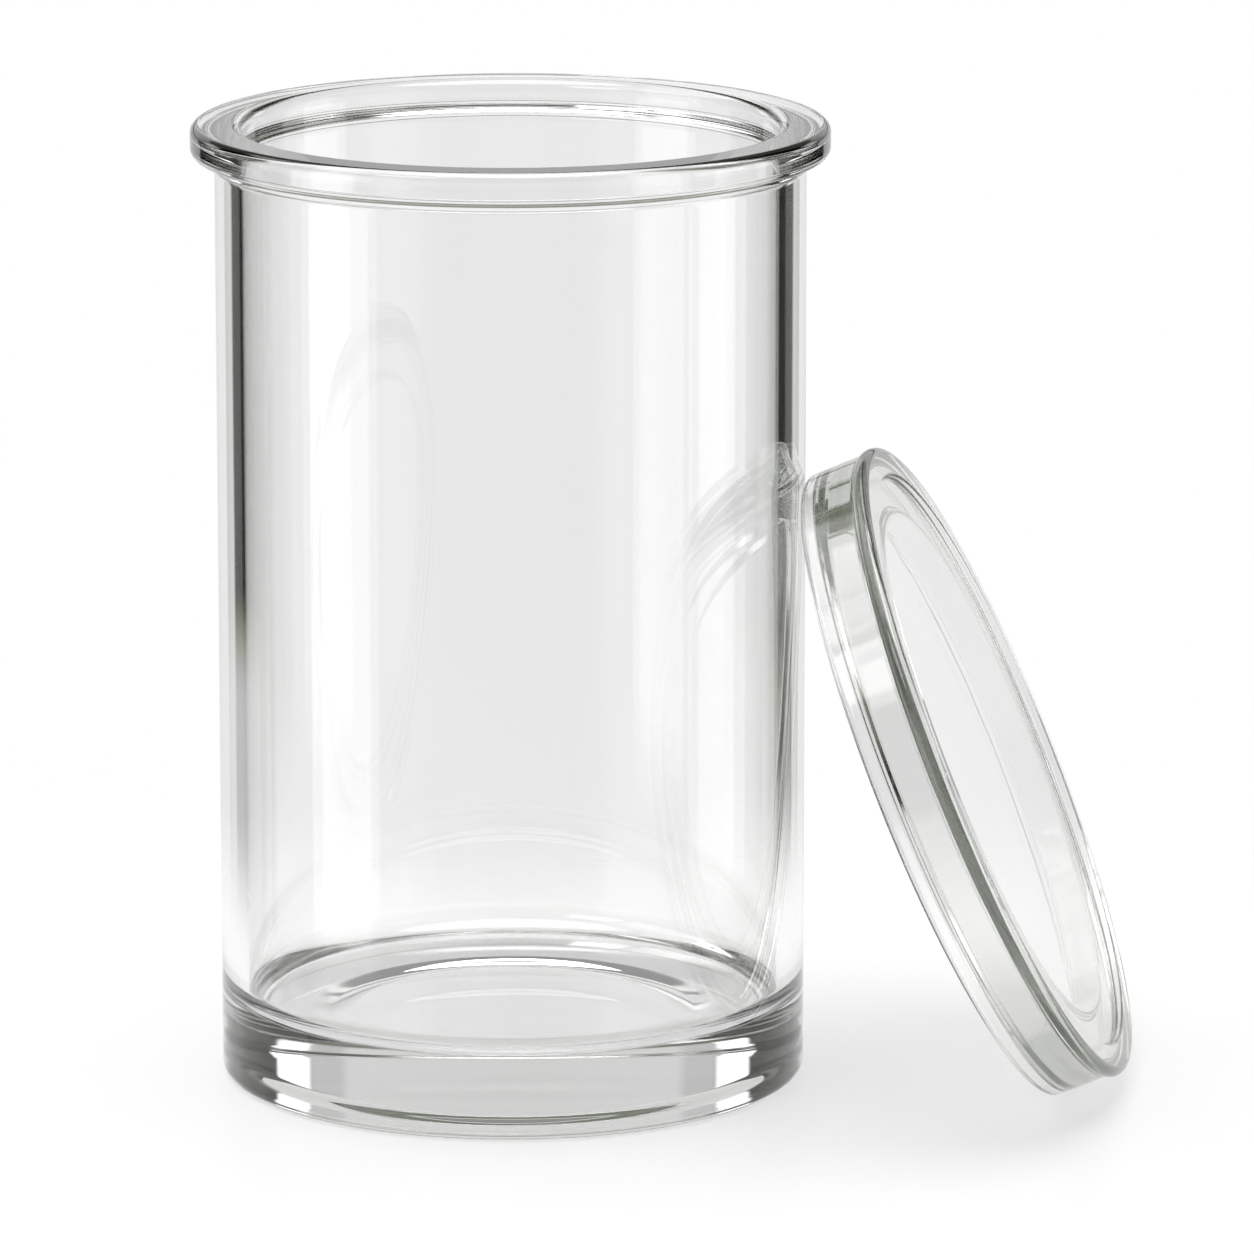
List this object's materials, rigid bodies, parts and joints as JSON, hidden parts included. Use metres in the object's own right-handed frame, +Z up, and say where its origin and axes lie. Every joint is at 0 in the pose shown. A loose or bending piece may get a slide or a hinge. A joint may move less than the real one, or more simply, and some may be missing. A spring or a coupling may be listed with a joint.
{
  "type": "gas jar",
  "caption": "Straight clear glass jar with a thick turned-out rim and a heavy base, for collecting gas, with its loose glass cap leaning against its side.",
  "frame": {"origin": "on the jar's axis, in the plane of its underside", "axes": "+Z up the jar's axis, out of its mouth; +X towards the side where the cap leans, within 8 degrees"},
  "size_m": [0.177, 0.1347, 0.181],
  "materials": {
    "jar_glass": "clear, fire-polished, faint green in its thick places",
    "cap_glass": "clear, moulded and polished, faint green in its thick places"
  },
  "bodies": {
    "root": {"jar": "jar_glass", "cap": "cap_glass"}
  },
  "joints": []
}
